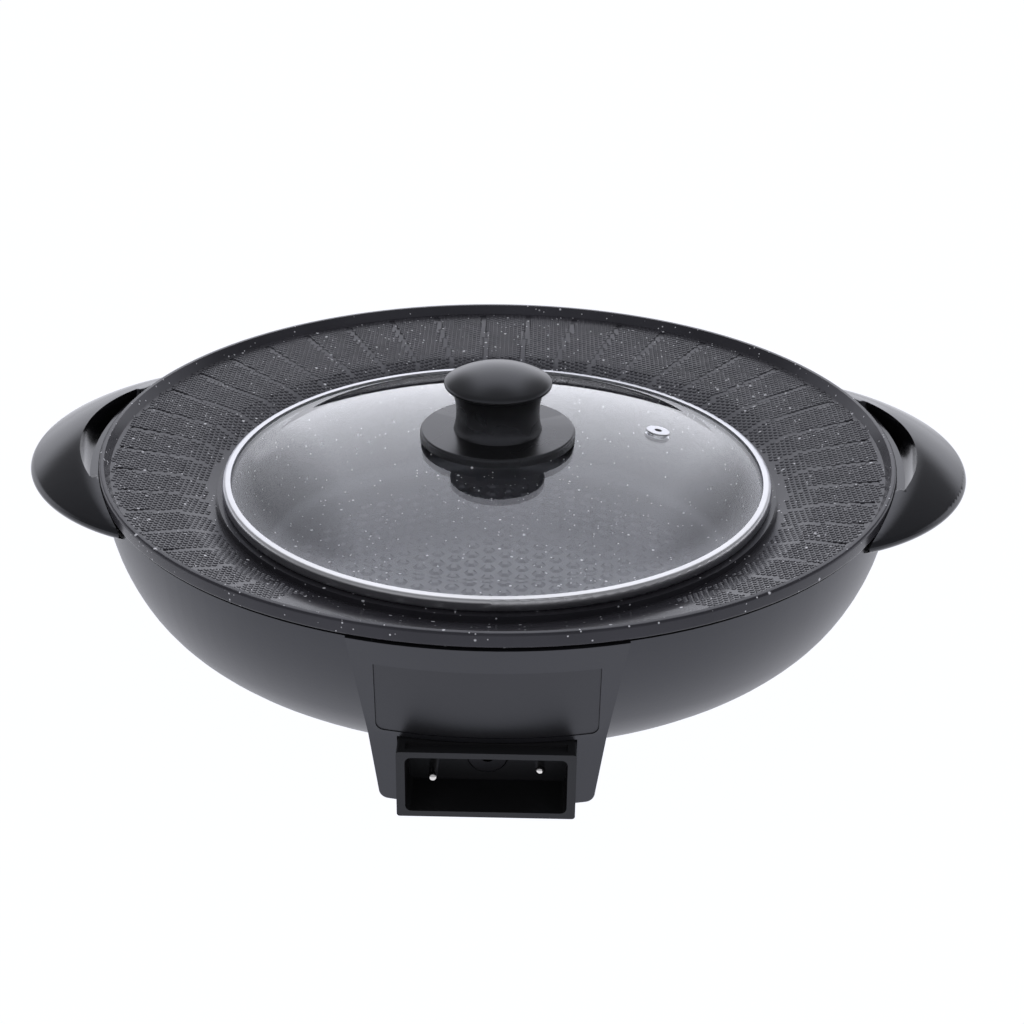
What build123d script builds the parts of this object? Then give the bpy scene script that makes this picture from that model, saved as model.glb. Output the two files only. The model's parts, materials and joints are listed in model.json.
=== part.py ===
from build123d import *
import math
import os

os.makedirs("parts", exist_ok=True)

# Millimetres. The floor is z = 0, the pan axis is x = y = 0, the socket faces -Y.

# Clearances between separate pieces
GAP = 0.3
SLIP = 0.15

# Pan rim and grill ring
RIM_R = 188.0
RIM_Z = 89.0
RIM_BAND = 6.5
RIM_LAND = 2.5
RIM_ROUND = 1.2
RING_R = RIM_R - 5.0
RING_Z = RIM_Z - 4.5
POT_Y = -22.0
LID_R = 128.3
SHOULDER_R = LID_R + 19.7
SHOULDER_Z = RIM_Z - 8.6
GUTTER_R = LID_R + 3.1
GUTTER_Z = RIM_Z - 15.2
COLLAR_R = LID_R + 2.3
LEDGE_Z = RIM_Z - 12.3
PAN_T = 4.0

# Grooves of the grill ring, round the pot axis; the front part stays smooth
GROOVE_N = 48
GROOVE_W = 3.4
GROOVE_D = 0.4
GROOVE_IN = SHOULDER_R - 4.0
GROOVE_OUT = RING_R - 2.5
SMOOTH_HALF = 52.0

# Pot well
WELL_R = LID_R - 3.3
WELL_FOOT_R = WELL_R - 8.0
WELL_Z = 28.0
WELL_ROUND = 10.0
PAN_UNDER_Z = WELL_Z - PAN_T
WEB_R = LID_R + 9.7
WEB_TOP_R = RIM_R - 3.0

# Lid rim and glass
LID_H = 6.0
STEEL_T = 0.8
RIM_LIP = 4.0
GLASS_T = LID_H - 2 * STEEL_T - 2 * SLIP
GLASS_EDGE_R = LID_R - STEEL_T - GAP
DOME_R = LID_R - RIM_LIP - 0.5
LID_TOP_Z = LEDGE_Z + LID_H
GLASS_EDGE_Z = LID_TOP_Z - STEEL_T - SLIP
GLASS_TOP_Z = RIM_Z + 10.0
GLASS_FLAT_R = 16.0

# Knob on the lid axis
FLANGE_R = 36.2
FLANGE_T = 4.0
NECK_R = 19.4
NECK_FOOT_R = 20.6
CAP_R = 24.9
CAP_LIP = 1.2
CAP_NECK_R = 22.0
CAP_Z = RIM_Z + 36.7
CAP_UNDER_Z = RIM_Z + 35.0
KNOB_TOP_Z = RIM_Z + 44.8
INSERT_R = 4.5
INSERT_H = 14.0
LID_SCREW_R = 2.5
LID_SCREW_HEAD_R = 5.0
LID_SCREW_HEAD_H = 3.0
GASKET_R = 13.0
GASKET_T = 1.5
WASHER_R = 10.0
WASHER_T = 1.2

# Steam vent, measured from the lid axis
VENT_X = 76.3
VENT_Y = 23.5
VENT_R = 5.8
VENT_HOLE_R = 1.8
VENT_NECK_R = 3.6
VENT_LIP = 0.8

# Base bowl
BOWL_TOP_R = RIM_R - 1.5
BOWL_TOP_Z = RIM_Z - 7.7
BASE_Z = 6.0
BOWL_REACH = 64.0
BOWL_KNEE = 26.6702
WALL = 3.0
BOWL_FOOT_R = BOWL_TOP_R - BOWL_REACH

# Control box on the front of the base
SOCKET_W = 36.2
FACE_TOP_R = RIM_R
FACE_LIP_R = RIM_R - 7.5
LIP_Z = 34.2
BOX_TOP_W = SOCKET_W + 19.8
BOX_LIP_W = SOCKET_W + 12.3
BOX_FOOT_W = SOCKET_W + 7.8
BOX_LOW_Z = 3.0
BOX_ROUND = 3.6
BOX_BACK_Y = -BOWL_FOOT_R - 17.5

# Bare inset panel on the face
PANEL_W = BOX_TOP_W - 11.0
PANEL_LOW_Z = LIP_Z + 2.3
PANEL_TOP_Z = RIM_Z - 19.0
PANEL_ROUND = 3.0
PANEL_T = 1.2
PANEL_SINK = 0.4

# Socket housing
SOCKET_FRONT_Y = -RIM_R
SOCKET_BACK_Y = SOCKET_FRONT_Y + 23.0
SOCKET_LOW_Z = BOX_LOW_Z
SOCKET_TOP_Z = LIP_Z - GAP
SOCKET_SIDE = 3.5
SOCKET_BAR = 2.6
SOCKET_BACK_T = 4.0
SOCKET_TROUGH = 1.4
TAB_X = SOCKET_W - 6.2
TAB_W = 7.0
TAB_L = 12.0
TAB_H = 9.0
TAB_SKIN = 2.0
SOCKET_SCREW_R = 1.5
SOCKET_HEAD_R = 3.0
SOCKET_HEAD_H = 1.4

# Power pins and probe sleeve
PIN_X = 21.7
PIN_Z = 19.0
PIN_R = 2.0
PIN_LEFT_Y = SOCKET_FRONT_Y + 3.4
PIN_RIGHT_Y = SOCKET_FRONT_Y + 9.3
PIN_ROOT_Y = SOCKET_BACK_Y + 11.0
PIN_ROOT_R = 2.6
PIN_SEAT = 1.0
SLEEVE_R = 8.7
SLEEVE_T = 2.0
SLEEVE_TUBE_R = 5.0
SLEEVE_HOLE_R = 3.2
SLEEVE_ROOT_Y = SOCKET_BACK_Y + 13.0

# Heater, shield and the posts that carry the pan
HEATER_R = 85.0
HEATER_TUBE_R = 4.0
RIB_T = 3.0
RIB_LOW_Z = PIN_Z + 1.0
POST_RING_R = 60.0
POST_R = 5.5
POST_FOOT_R = 8.5
POST_TOP_Z = 18.0
SHIELD_R = BOWL_FOOT_R - 17.5
SHIELD_Z = 10.5
SHIELD_T = 0.8
SHIELD_LIP = 3.0
SHIELD_NOTCH = 30.0
SPACER_R = 8.5
PAN_SCREW_R = 1.8
PAN_HEAD_R = 3.6
PAN_HEAD_H = 2.0
PAN_SCREW_UP = 4.0

# Handles
HANDLE_X = RIM_R - 69.0
HANDLE_R = 103.7
HANDLE_CORE = 56.0
HANDLE_TOP_Z = RIM_Z - 5.0
HANDLE_BROW = 1.2
HANDLE_EDGE_Z = RIM_Z - 9.2
HANDLE_EDGE_H = 4.0
HANDLE_EDGE_IN = 2.0
HANDLE_LOW_Z = RIM_Z - 27.0
HANDLE_BELLY = 0.8
HANDLE_LEDGE_Z = RIM_Z - 3.8
HANDLE_LEDGE_Y = 50.0
SLOT_IN_R = RIM_R + 4.0
SLOT_OUT_X = RIM_R - 95.1
SLOT_OUT_R = 105.6
HANDLE_SCREW_ANGLE = math.degrees(math.asin(55.0 / RIM_R))
HANDLE_SCREW_Z = RIM_Z - 12.5
HANDLE_SCREW_R = 1.5
HANDLE_SCREW_END = RIM_R + 6.0
HANDLE_HEAD_R = 3.2
HANDLE_HEAD_H = 2.4
BOSS_R = 3.6
BOSS_SEAT = RIM_R - 8.0

# Feet
FOOT_RING_R = BOWL_FOOT_R - 30.5
FOOT_R = 9.0
FOOT_STUB_R = 5.0
FOOT_STUB_H = 1.6

# Reach of cutters, and how far fused or cut shapes run into each other
HIGH = 400.0
OVER = 1.0


def spin(points):
    """Turn an outline of (radius, height) points round the upright axis."""
    return spin_edges(Polyline(*points, close=True))


def spin_edges(outline):
    """Turn a closed outline, drawn as radius and height, round the upright axis."""
    return revolve(make_face(Plane.XZ * outline), Axis.Z)


def cap_arc(edge_r, edge_z, top_z):
    """Arc of a round cap from its edge to its top on the axis."""
    rise = top_z - edge_z
    ball = (edge_r**2 + rise**2) / (2 * rise)
    mid = edge_r / 2
    return ThreePointArc((edge_r, edge_z), (mid, top_z - ball + math.sqrt(ball**2 - mid**2)), (0, top_z))


def rod(radius, low, high, x=0.0, y=0.0):
    """Upright cylinder between two heights."""
    return Pos(x, y, low) * extrude(Circle(radius), high - low)


def rod_y(radius, front, back, x, z):
    """Cylinder along Y between two places."""
    return Pos(x, front, z) * Rot(-90, 0, 0) * extrude(Circle(radius), back - front)


def block(x0, x1, y0, y1, z0, z1):
    """Box between two corners."""
    size = Box(x1 - x0, y1 - y0, z1 - z0, align=(Align.MIN, Align.MIN, Align.MIN))
    return Pos(x0, y0, z0) * size


def dish(r0, y0, z0, r1, y1, z1):
    """Solid between two level circles, which need not share an axis."""
    top = Pos(0, y0, z0) * Circle(r0)
    low = Pos(0, y1, z1) * Circle(r1)
    return loft([low, top], ruled=True)


def ring_height(x, y):
    """Height of the grill ring surface at a place in plan."""
    low, high = 0.0, 1.0
    for step in range(40):
        t = (low + high) / 2
        reach = RING_R + (SHOULDER_R - RING_R) * t
        if math.hypot(x, y - POT_Y * t) > reach:
            high = t
        else:
            low = t
    return RING_Z + (SHOULDER_Z - RING_Z) * low


def groove(angle):
    """Cutter for one groove that runs out from the pot axis."""
    c, s = math.cos(angle), math.sin(angle)
    far = POT_Y * -s + math.sqrt(GROOVE_OUT**2 - (POT_Y * c) ** 2)
    in_z = ring_height(GROOVE_IN * c, POT_Y + GROOVE_IN * s) - GROOVE_D
    out_z = ring_height(far * c, POT_Y + far * s) - GROOVE_D
    side = Polyline((GROOVE_IN, in_z), (far, out_z), (far, RIM_Z), (GROOVE_IN, RIM_Z), close=True)
    cutter = extrude(make_face(Plane.XZ * side), GROOVE_W / 2, both=True)
    return Pos(0, POT_Y, 0) * Rot(0, 0, math.degrees(angle)) * cutter


def groove_angles():
    """Directions of the grooves, leaving out the smooth front part."""
    turns = [360.0 * (i + 0.5) / GROOVE_N for i in range(GROOVE_N)]
    return [math.radians(t) for t in turns if abs(t - 270.0) > SMOOTH_HALF]


def post_places():
    """Centres of the four posts that carry the pan."""
    turns = [math.radians(45 + 90 * i) for i in range(4)]
    return [(POST_RING_R * math.cos(t), POT_Y + POST_RING_R * math.sin(t)) for t in turns]


def foot_places():
    """Centres of the four feet."""
    turns = [math.radians(45 + 90 * i) for i in range(4)]
    return [(FOOT_RING_R * math.cos(t), FOOT_RING_R * math.sin(t)) for t in turns]


def well_cut():
    """Space inside the pot well."""
    space = spin([(0, WELL_Z), (WELL_FOOT_R, WELL_Z), (WELL_R, LEDGE_Z), (0, LEDGE_Z)])
    floor_edge = space.edges().filter_by(GeomType.CIRCLE).group_by(Axis.Z)[0]
    return Pos(0, POT_Y, 0) * fillet(floor_edge, WELL_ROUND)


def pot_body():
    """Outside of the pot under the grill ring."""
    foot = WELL_FOOT_R + PAN_T
    body = spin([(0, PAN_UNDER_Z), (foot, PAN_UNDER_Z), (WELL_R + PAN_T, LEDGE_Z), (0, LEDGE_Z)])
    floor_edge = body.edges().filter_by(GeomType.CIRCLE).group_by(Axis.Z)[0]
    return Pos(0, POT_Y, 0) * fillet(floor_edge, WELL_ROUND + PAN_T)


def heater_ribs():
    """Two ribs under the pot floor that hold the heater between them."""
    half = HEATER_TUBE_R + GAP
    ribs = rod(HEATER_R + half + RIB_T, RIB_LOW_Z, PAN_UNDER_Z) - rod(HEATER_R - half - RIB_T, 0, HIGH)
    channel = rod(HEATER_R + half, 0, PIN_Z + half) - rod(HEATER_R - half, 0, HIGH)
    legs = block(-PIN_X - half, PIN_X + half, -HIGH, 0, 0, PIN_Z + half)
    return Pos(0, POT_Y, 0) * (ribs - channel - legs)


def make_pan():
    """Cast pan: rim, dished grill ring, lid ledge, pot well, heater ribs and studs."""
    band = rod(RIM_R, RIM_Z - RIM_BAND, RIM_Z)
    band = fillet(band.edges().filter_by(GeomType.CIRCLE), RIM_ROUND)
    web = dish(WEB_TOP_R, 0, RIM_Z - RIM_BAND, WEB_R, POT_Y, GUTTER_Z - PAN_T)
    pan = band + web + pot_body() + heater_ribs()
    pan -= dish(RIM_R - RIM_LAND, 0, RIM_Z, RING_R, 0, RING_Z)
    pan -= dish(RING_R, 0, RING_Z, SHOULDER_R, POT_Y, SHOULDER_Z)
    gutter = dish(SHOULDER_R, POT_Y, SHOULDER_Z, GUTTER_R, POT_Y, GUTTER_Z)
    pan -= gutter - rod(COLLAR_R, 0, LEDGE_Z, 0, POT_Y)
    pan -= well_cut()
    pan -= Compound([groove(a) for a in groove_angles()])
    for x, y in post_places():
        pan += rod(POST_R, POST_TOP_Z, PAN_UNDER_Z + OVER, x, y)
        pan -= rod(PAN_SCREW_R + SLIP, POST_TOP_Z, POST_TOP_Z + PAN_SCREW_UP + OVER, x, y)
    return pan


def bowl(inset, top):
    """Solid bowl of a foot arc and a side arc that meet smoothly, set in by a wall thickness."""
    high = BOWL_TOP_Z - OVER
    tall = high - BASE_Z
    meet = math.radians(-BOWL_KNEE)
    across, down = math.cos(meet), -math.sin(meet)
    side = (tall * across - BOWL_REACH * (1 - down)) / (across + down - 1)
    side_c = BOWL_TOP_R - side
    low = (BOWL_REACH * down - tall * (1 - across)) / (across + down - 1)
    low_c = BASE_Z + low

    def on(centre_r, centre_z, radius, turn):
        return (centre_r + (radius - inset) * math.cos(turn), centre_z + (radius - inset) * math.sin(turn))

    foot = on(BOWL_FOOT_R, low_c, low, -math.pi / 2)
    knee = on(BOWL_FOOT_R, low_c, low, meet)
    edge = on(side_c, high, side, 0)
    low_arc = ThreePointArc(foot, on(BOWL_FOOT_R, low_c, low, (meet - math.pi / 2) / 2), knee)
    side_arc = ThreePointArc(knee, on(side_c, high, side, meet / 2), edge)
    rest = Polyline(edge, (edge[0], top), (0, top), (0, foot[1]), foot)
    return spin_edges(low_arc + side_arc + rest)


def face_radius(z):
    """Radius of the control box face at a height."""
    return FACE_LIP_R + (FACE_TOP_R - FACE_LIP_R) * (z - LIP_Z) / (BOWL_TOP_Z - LIP_Z)


def face_cone(inset, low, high):
    """Cone of the control box face, set in by a thickness, between two heights."""
    return spin([(0, low), (face_radius(low) - inset, low), (face_radius(high) - inset, high), (0, high)])


def front_outline(points, rounding, back):
    """Prism forward along Y from an outline in X and Z, its lowest corners rounded."""
    face = make_face(Plane.XZ * Polyline(*points, close=True))
    low = face.vertices().group_by(Axis.Z)[0]
    return Pos(0, back, 0) * extrude(fillet(low, rounding), HIGH, dir=(0, -1, 0))


def control_box(inset):
    """Solid control box, set in by a wall thickness."""
    low = BOX_LOW_Z + inset
    half = [(BOX_TOP_W - inset, BOWL_TOP_Z), (BOX_LIP_W - inset, LIP_Z), (BOX_FOOT_W - inset, low)]
    points = half + [(-x, z) for x, z in reversed(half)]
    face = face_cone(inset, LIP_Z, BOWL_TOP_Z) + rod(FACE_LIP_R - inset, low, LIP_Z)
    return front_outline(points, BOX_ROUND - inset, BOX_BACK_Y - inset) & face


def panel_outline(grow):
    """Prism that trims the inset panel."""
    half = [(PANEL_W + grow, PANEL_TOP_Z + grow), (PANEL_W + grow, PANEL_LOW_Z - grow)]
    points = half + [(-x, z) for x, z in reversed(half)]
    return front_outline(points, PANEL_ROUND + grow, BOX_BACK_Y)


def radial(shape, angle):
    """Turn a shape made along +X to a direction in plan."""
    return Rot(0, 0, angle) * shape


def rod_x(radius, start, end, z):
    """Cylinder along X between two radii."""
    return Pos(start, 0, z) * Rot(0, 90, 0) * extrude(Circle(radius), end - start)


def handle_screw_angles():
    """Directions of the four handle screws."""
    return [HANDLE_SCREW_ANGLE, -HANDLE_SCREW_ANGLE, 180 - HANDLE_SCREW_ANGLE, 180 + HANDLE_SCREW_ANGLE]


def make_base():
    """Plastic bowl with the control box, posts, screw bosses and foot pockets."""
    inside = bowl(WALL, HIGH) + control_box(WALL)
    base = bowl(0, BOWL_TOP_Z) + control_box(0) - inside
    for angle in handle_screw_angles():
        boss = rod_x(BOSS_R, BOSS_SEAT, BOWL_TOP_R - WALL / 2, HANDLE_SCREW_Z)
        base += radial(boss, angle) & bowl(WALL / 2, BOWL_TOP_Z)
        base -= radial(rod_x(HANDLE_SCREW_R + GAP, BOSS_SEAT - OVER, HIGH, HANDLE_SCREW_Z), angle)
    for x, y in post_places():
        base += rod(POST_FOOT_R, BASE_Z, SHIELD_Z, x, y) + rod(POST_R, BASE_Z, POST_TOP_Z, x, y)
        base -= rod(PAN_HEAD_R + GAP, 0, BASE_Z + PAN_HEAD_H, x, y)
        base -= rod(PAN_SCREW_R + GAP, 0, HIGH, x, y)
    for x, y in foot_places():
        base -= rod(FOOT_STUB_R + SLIP, 0, BASE_Z + FOOT_STUB_H + SLIP, x, y)
    back = SOCKET_BACK_Y + SOCKET_BACK_T + GAP
    base -= block(-SOCKET_W - GAP, SOCKET_W + GAP, -HIGH, back, 0, LIP_Z)
    base -= panel_outline(SLIP) & panel_skin(0, PANEL_SINK + PANEL_T + GAP)
    for x, y in socket_screw_places():
        base -= rod(SOCKET_HEAD_R + GAP, 0, BOX_LOW_Z + SOCKET_HEAD_H, x, y)
        base -= rod(SOCKET_SCREW_R + GAP, 0, BOX_LOW_Z + WALL + OVER, x, y)
    return base


def panel_skin(outer, inner):
    """Layer of the control box face between two depths."""
    return face_cone(outer, LIP_Z, BOWL_TOP_Z) - face_cone(inner, LIP_Z, BOWL_TOP_Z)


def make_panel():
    """Bare panel that lies in the pocket of the control box face."""
    return panel_outline(0) & panel_skin(PANEL_SINK, PANEL_SINK + PANEL_T)


def socket_screw_places():
    """Centres of the two screws under the socket housing tabs."""
    y = SOCKET_BACK_Y + SOCKET_BACK_T + TAB_L / 2
    return [(-TAB_X, y), (TAB_X, y)]


def make_socket():
    """Open-fronted housing with a frame, a back wall and two screw tabs."""
    back = SOCKET_BACK_Y + SOCKET_BACK_T
    body = block(-SOCKET_W, SOCKET_W, SOCKET_FRONT_Y, back, SOCKET_LOW_Z, SOCKET_TOP_Z)
    corners = body.edges().filter_by(Axis.Y)
    body = fillet(corners, SOCKET_BAR / 2)
    inner_w = SOCKET_W - SOCKET_SIDE
    hollow = block(
        -inner_w, inner_w, -HIGH, SOCKET_BACK_Y, SOCKET_LOW_Z + SOCKET_BAR, SOCKET_TOP_Z - SOCKET_BAR
    )
    body -= fillet(hollow.edges().filter_by(Axis.Y), SOCKET_BAR)
    trough_z = SOCKET_TOP_Z - SOCKET_TROUGH
    body -= block(-inner_w, inner_w, SOCKET_FRONT_Y + SOCKET_BAR, -FACE_LIP_R, trough_z, HIGH)
    for x, y in socket_screw_places():
        low = BOX_LOW_Z + WALL
        body += block(x - TAB_W / 2, x + TAB_W / 2, back - OVER, back + TAB_L, low, low + TAB_H)
        body -= rod(SOCKET_SCREW_R + SLIP, low, low + TAB_H - TAB_SKIN, x, y)
    for x in (-PIN_X, PIN_X):
        body -= rod_y(PIN_ROOT_R + SLIP, -HIGH, 0, x, PIN_Z)
    return body - rod_y(SLEEVE_TUBE_R + SLIP, -HIGH, 0, 0, PIN_Z)


def make_pin(x, tip_y):
    """Round-ended power pin with a thicker root that sits in the back wall."""
    seat_y = SOCKET_BACK_Y - PIN_SEAT
    pin = rod_y(PIN_R, tip_y, seat_y + OVER, x, PIN_Z)
    tip = pin.edges().filter_by(GeomType.CIRCLE).sort_by(Axis.Y)[0]
    return fillet(tip, PIN_R - SLIP) + rod_y(PIN_ROOT_R, seat_y, PIN_ROOT_Y, x, PIN_Z)


def make_sleeve():
    """Collar and tube that guide the temperature probe."""
    collar = rod_y(SLEEVE_R, SOCKET_BACK_Y - SLEEVE_T, SOCKET_BACK_Y, 0, PIN_Z)
    collar = chamfer(collar.edges().sort_by(Axis.Y)[0], SLEEVE_T / 3)
    tube = rod_y(SLEEVE_TUBE_R, SOCKET_BACK_Y, SLEEVE_ROOT_Y, 0, PIN_Z)
    return collar + tube - rod_y(SLEEVE_HOLE_R, -HIGH, HIGH, 0, PIN_Z)


def make_socket_screws():
    """Two screws from below into the socket tabs."""
    screws = []
    for x, y in socket_screw_places():
        head = rod(SOCKET_HEAD_R, BOX_LOW_Z, BOX_LOW_Z + SOCKET_HEAD_H, x, y)
        end = BOX_LOW_Z + WALL + TAB_H - TAB_SKIN - OVER
        screws.append(head + rod(SOCKET_SCREW_R, BOX_LOW_Z, end, x, y))
    return Compound(screws)


def handle_block():
    """Lens-shaped handle body round its own upright axis, before it is trimmed."""
    rim = HANDLE_R - HANDLE_EDGE_IN
    upper = HANDLE_EDGE_Z + HANDLE_EDGE_H / 2
    lower = HANDLE_EDGE_Z - HANDLE_EDGE_H / 2
    mid = (HANDLE_CORE + rim) / 2
    top = ThreePointArc(
        (HANDLE_CORE, HANDLE_TOP_Z), (mid, (HANDLE_TOP_Z + upper) / 2 + HANDLE_BROW), (rim, upper)
    )
    edge = ThreePointArc((rim, upper), (HANDLE_R, HANDLE_EDGE_Z), (rim, lower))
    low = ThreePointArc(
        (rim, lower), (mid, (HANDLE_LOW_Z + lower) / 2 - HANDLE_BELLY), (HANDLE_CORE, HANDLE_LOW_Z)
    )
    root = Line((HANDLE_CORE, HANDLE_LOW_Z), (HANDLE_CORE, HANDLE_TOP_Z))
    return Pos(HANDLE_X, 0, 0) * spin_edges(top + edge + low + root)


def make_handle(side):
    """Side handle with its crescent slot, fitted to the bowl and the pan rim."""
    ledge = block(HANDLE_X, HIGH, -HANDLE_LEDGE_Y, HANDLE_LEDGE_Y, HANDLE_EDGE_Z, HANDLE_LEDGE_Z)
    body = handle_block() + (ledge & rod(SLOT_IN_R, HANDLE_EDGE_Z, HANDLE_LEDGE_Z))
    body -= rod(RIM_R + GAP, BOWL_TOP_Z - WALL, HIGH)
    body -= bowl(-GAP, BOWL_TOP_Z)
    body -= block(-HIGH, HANDLE_X, -HIGH, HIGH, 0, HIGH)
    slot = rod(SLOT_OUT_R, 0, HIGH, SLOT_OUT_X) - rod(SLOT_IN_R, 0, HIGH)
    body -= slot & block(HANDLE_X, HIGH, -HIGH, HIGH, 0, HIGH)
    for angle in (HANDLE_SCREW_ANGLE, -HANDLE_SCREW_ANGLE):
        hole = rod_x(HANDLE_SCREW_R + SLIP, BOSS_SEAT, HANDLE_SCREW_END + OVER, HANDLE_SCREW_Z)
        body -= radial(hole, angle)
    return radial(body, 0 if side > 0 else 180)


def make_handle_screws():
    """Four screws from inside the bowl into the handles."""
    head = rod_x(HANDLE_HEAD_R, BOSS_SEAT - HANDLE_HEAD_H, BOSS_SEAT, HANDLE_SCREW_Z)
    screw = head + rod_x(HANDLE_SCREW_R, BOSS_SEAT, HANDLE_SCREW_END, HANDLE_SCREW_Z)
    return Compound([radial(screw, angle) for angle in handle_screw_angles()])


def make_shield():
    """Sheet disc with a turned-up edge, open in front for the heater legs."""
    plate = rod(SHIELD_R, SHIELD_Z, SHIELD_Z + SHIELD_T)
    edge = rod(SHIELD_R, SHIELD_Z, SHIELD_Z + SHIELD_LIP) - rod(SHIELD_R - SHIELD_T, 0, HIGH)
    notch = block(-SHIELD_NOTCH, SHIELD_NOTCH, -HIGH, 0, SHIELD_Z + SHIELD_T, HIGH)
    shield = Pos(0, POT_Y, 0) * (plate + (edge - notch))
    for x, y in post_places():
        shield -= rod(POST_R + GAP, 0, HIGH, x, y)
    return shield


def make_spacers():
    """Insulating sleeves on the posts, between the shield and the pan."""
    low = SHIELD_Z + SHIELD_T
    sleeve = rod(SPACER_R, low, PAN_UNDER_Z) - rod(POST_R + GAP, 0, HIGH)
    return Compound([Pos(x, y, 0) * sleeve for x, y in post_places()])


def make_heater():
    """Tubular heater: an open ring with two legs that reach the power pins."""
    start = math.degrees(math.asin(PIN_X / HEATER_R))
    section = Plane.XZ * Pos(HEATER_R, PIN_Z) * Circle(HEATER_TUBE_R)
    arc = revolve(section, Axis.Z, 360 - 2 * start)
    ring = Pos(0, POT_Y, 0) * Rot(0, 0, -90 + start) * arc
    bend_y = POT_Y - HEATER_R * math.cos(math.radians(start))
    for x in (-PIN_X, PIN_X):
        ring += rod_y(HEATER_TUBE_R, PIN_ROOT_Y, bend_y, x, PIN_Z)
        ring += Pos(x, bend_y, PIN_Z) * Sphere(HEATER_TUBE_R)
    return ring


def make_pan_screws():
    """Four screws from below, through the posts into the pan studs."""
    screws = []
    for x, y in post_places():
        head = rod(PAN_HEAD_R, BASE_Z, BASE_Z + PAN_HEAD_H, x, y)
        screws.append(head + rod(PAN_SCREW_R, BASE_Z, POST_TOP_Z + PAN_SCREW_UP, x, y))
    return Compound(screws)


def make_feet():
    """Four rubber feet with stubs in the base pockets."""
    feet = []
    for x, y in foot_places():
        pad = rod(FOOT_R, 0, BASE_Z, x, y)
        pad = chamfer(pad.edges().sort_by(Axis.Z)[0], BASE_Z / 4)
        feet.append(pad + rod(FOOT_STUB_R, BASE_Z, BASE_Z + FOOT_STUB_H, x, y))
    return Compound(feet)


def make_lid_rim():
    """Steel band folded over the edge of the glass."""
    low_r = LID_R - RIM_LIP
    outside = spin([(low_r, LEDGE_Z), (LID_R, LEDGE_Z), (LID_R, LID_TOP_Z), (low_r, LID_TOP_Z)])
    edges = outside.edges().filter_by(lambda e: e.bounding_box().size.X > 2 * LID_R - 1)
    outside = fillet(edges, LID_H / 3)
    inside = rod(LID_R - STEEL_T, LEDGE_Z + STEEL_T, LID_TOP_Z - STEEL_T)
    return Pos(0, POT_Y, 0) * (outside - inside)


def dome_ball():
    """Ball radius of the dome and how far the flat middle stands above the ball centre."""
    drop = GLASS_TOP_Z - GLASS_EDGE_Z
    lift = (DOME_R**2 - GLASS_FLAT_R**2 + drop**2) / (2 * drop)
    return math.hypot(GLASS_FLAT_R, lift), lift


def dome_z(r):
    """Height of the upper side of the glass at a distance from the lid axis."""
    ball, lift = dome_ball()
    return GLASS_TOP_Z - lift + math.sqrt(ball**2 - r**2)


def dome_arc(down):
    """Arc of the glass dome from its edge to the flat middle, moved down."""
    radii = (DOME_R, (DOME_R + GLASS_FLAT_R) / 2, GLASS_FLAT_R)
    return ThreePointArc(*[(r, dome_z(r) - down) for r in radii])


def make_glass():
    """Clear dome with a flat middle for the knob and a hole for the vent."""
    top = GLASS_EDGE_Z
    low = top - GLASS_T
    hole = LID_SCREW_R + GAP
    flat_low = GLASS_TOP_Z - GLASS_T
    edge = Polyline((DOME_R, low), (GLASS_EDGE_R, low), (GLASS_EDGE_R, top), (DOME_R, top))
    rim = GLASS_FLAT_R
    middle = Polyline((rim, GLASS_TOP_Z), (hole, GLASS_TOP_Z), (hole, flat_low), (rim, flat_low))
    glass = Pos(0, POT_Y, 0) * spin_edges(dome_arc(0) + dome_arc(GLASS_T) + edge + middle)
    return glass - vent_frame() * rod(VENT_NECK_R + SLIP, -2 * GLASS_T, GLASS_T)


def make_knob_base():
    """Wide flange that lies on the flat middle of the glass."""
    top = GLASS_TOP_Z + FLANGE_T
    hole = INSERT_R + GAP
    flange = spin([(hole, GLASS_TOP_Z), (FLANGE_R, GLASS_TOP_Z), (FLANGE_R, top), (hole, top)])
    outer = flange.edges().filter_by(lambda e: e.bounding_box().size.X > 2 * FLANGE_R - 1)
    outer = outer.sort_by(Axis.Z)[-1]
    return Pos(0, POT_Y, 0) * fillet(outer, FLANGE_T / 3)


def make_knob():
    """Knob with a waisted neck and a domed cap, hollow for its insert."""
    low = GLASS_TOP_Z + FLANGE_T
    neck = ThreePointArc((NECK_FOOT_R, low), (NECK_R, (low + CAP_UNDER_Z) / 2), (CAP_NECK_R, CAP_UNDER_Z))
    under = Line((CAP_NECK_R, CAP_UNDER_Z), (CAP_R - CAP_LIP, CAP_UNDER_Z))
    edge_r = CAP_R - CAP_LIP / 2
    edge_z = CAP_Z + CAP_LIP
    edge = ThreePointArc((CAP_R - CAP_LIP, CAP_UNDER_Z), (CAP_R, CAP_Z), (edge_r, edge_z))
    rest = Polyline((0, KNOB_TOP_Z), (0, low), (NECK_FOOT_R, low))
    knob = spin_edges(neck + under + edge + cap_arc(edge_r, edge_z, KNOB_TOP_Z) + rest)
    return Pos(0, POT_Y, 0) * (knob - rod(INSERT_R + SLIP, 0, GLASS_TOP_Z + INSERT_H))


def make_insert():
    """Threaded insert inside the knob and flange."""
    body = rod(INSERT_R, GLASS_TOP_Z, GLASS_TOP_Z + INSERT_H, 0, POT_Y)
    return body - rod(LID_SCREW_R + SLIP, 0, GLASS_TOP_Z + INSERT_H - 2 * OVER, 0, POT_Y)


def under_glass(radius, drop, thick):
    """Round washer under the middle of the glass."""
    top = GLASS_TOP_Z - GLASS_T - drop
    return rod(radius, top - thick, top, 0, POT_Y) - rod(LID_SCREW_R + GAP, 0, HIGH, 0, POT_Y)


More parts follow.
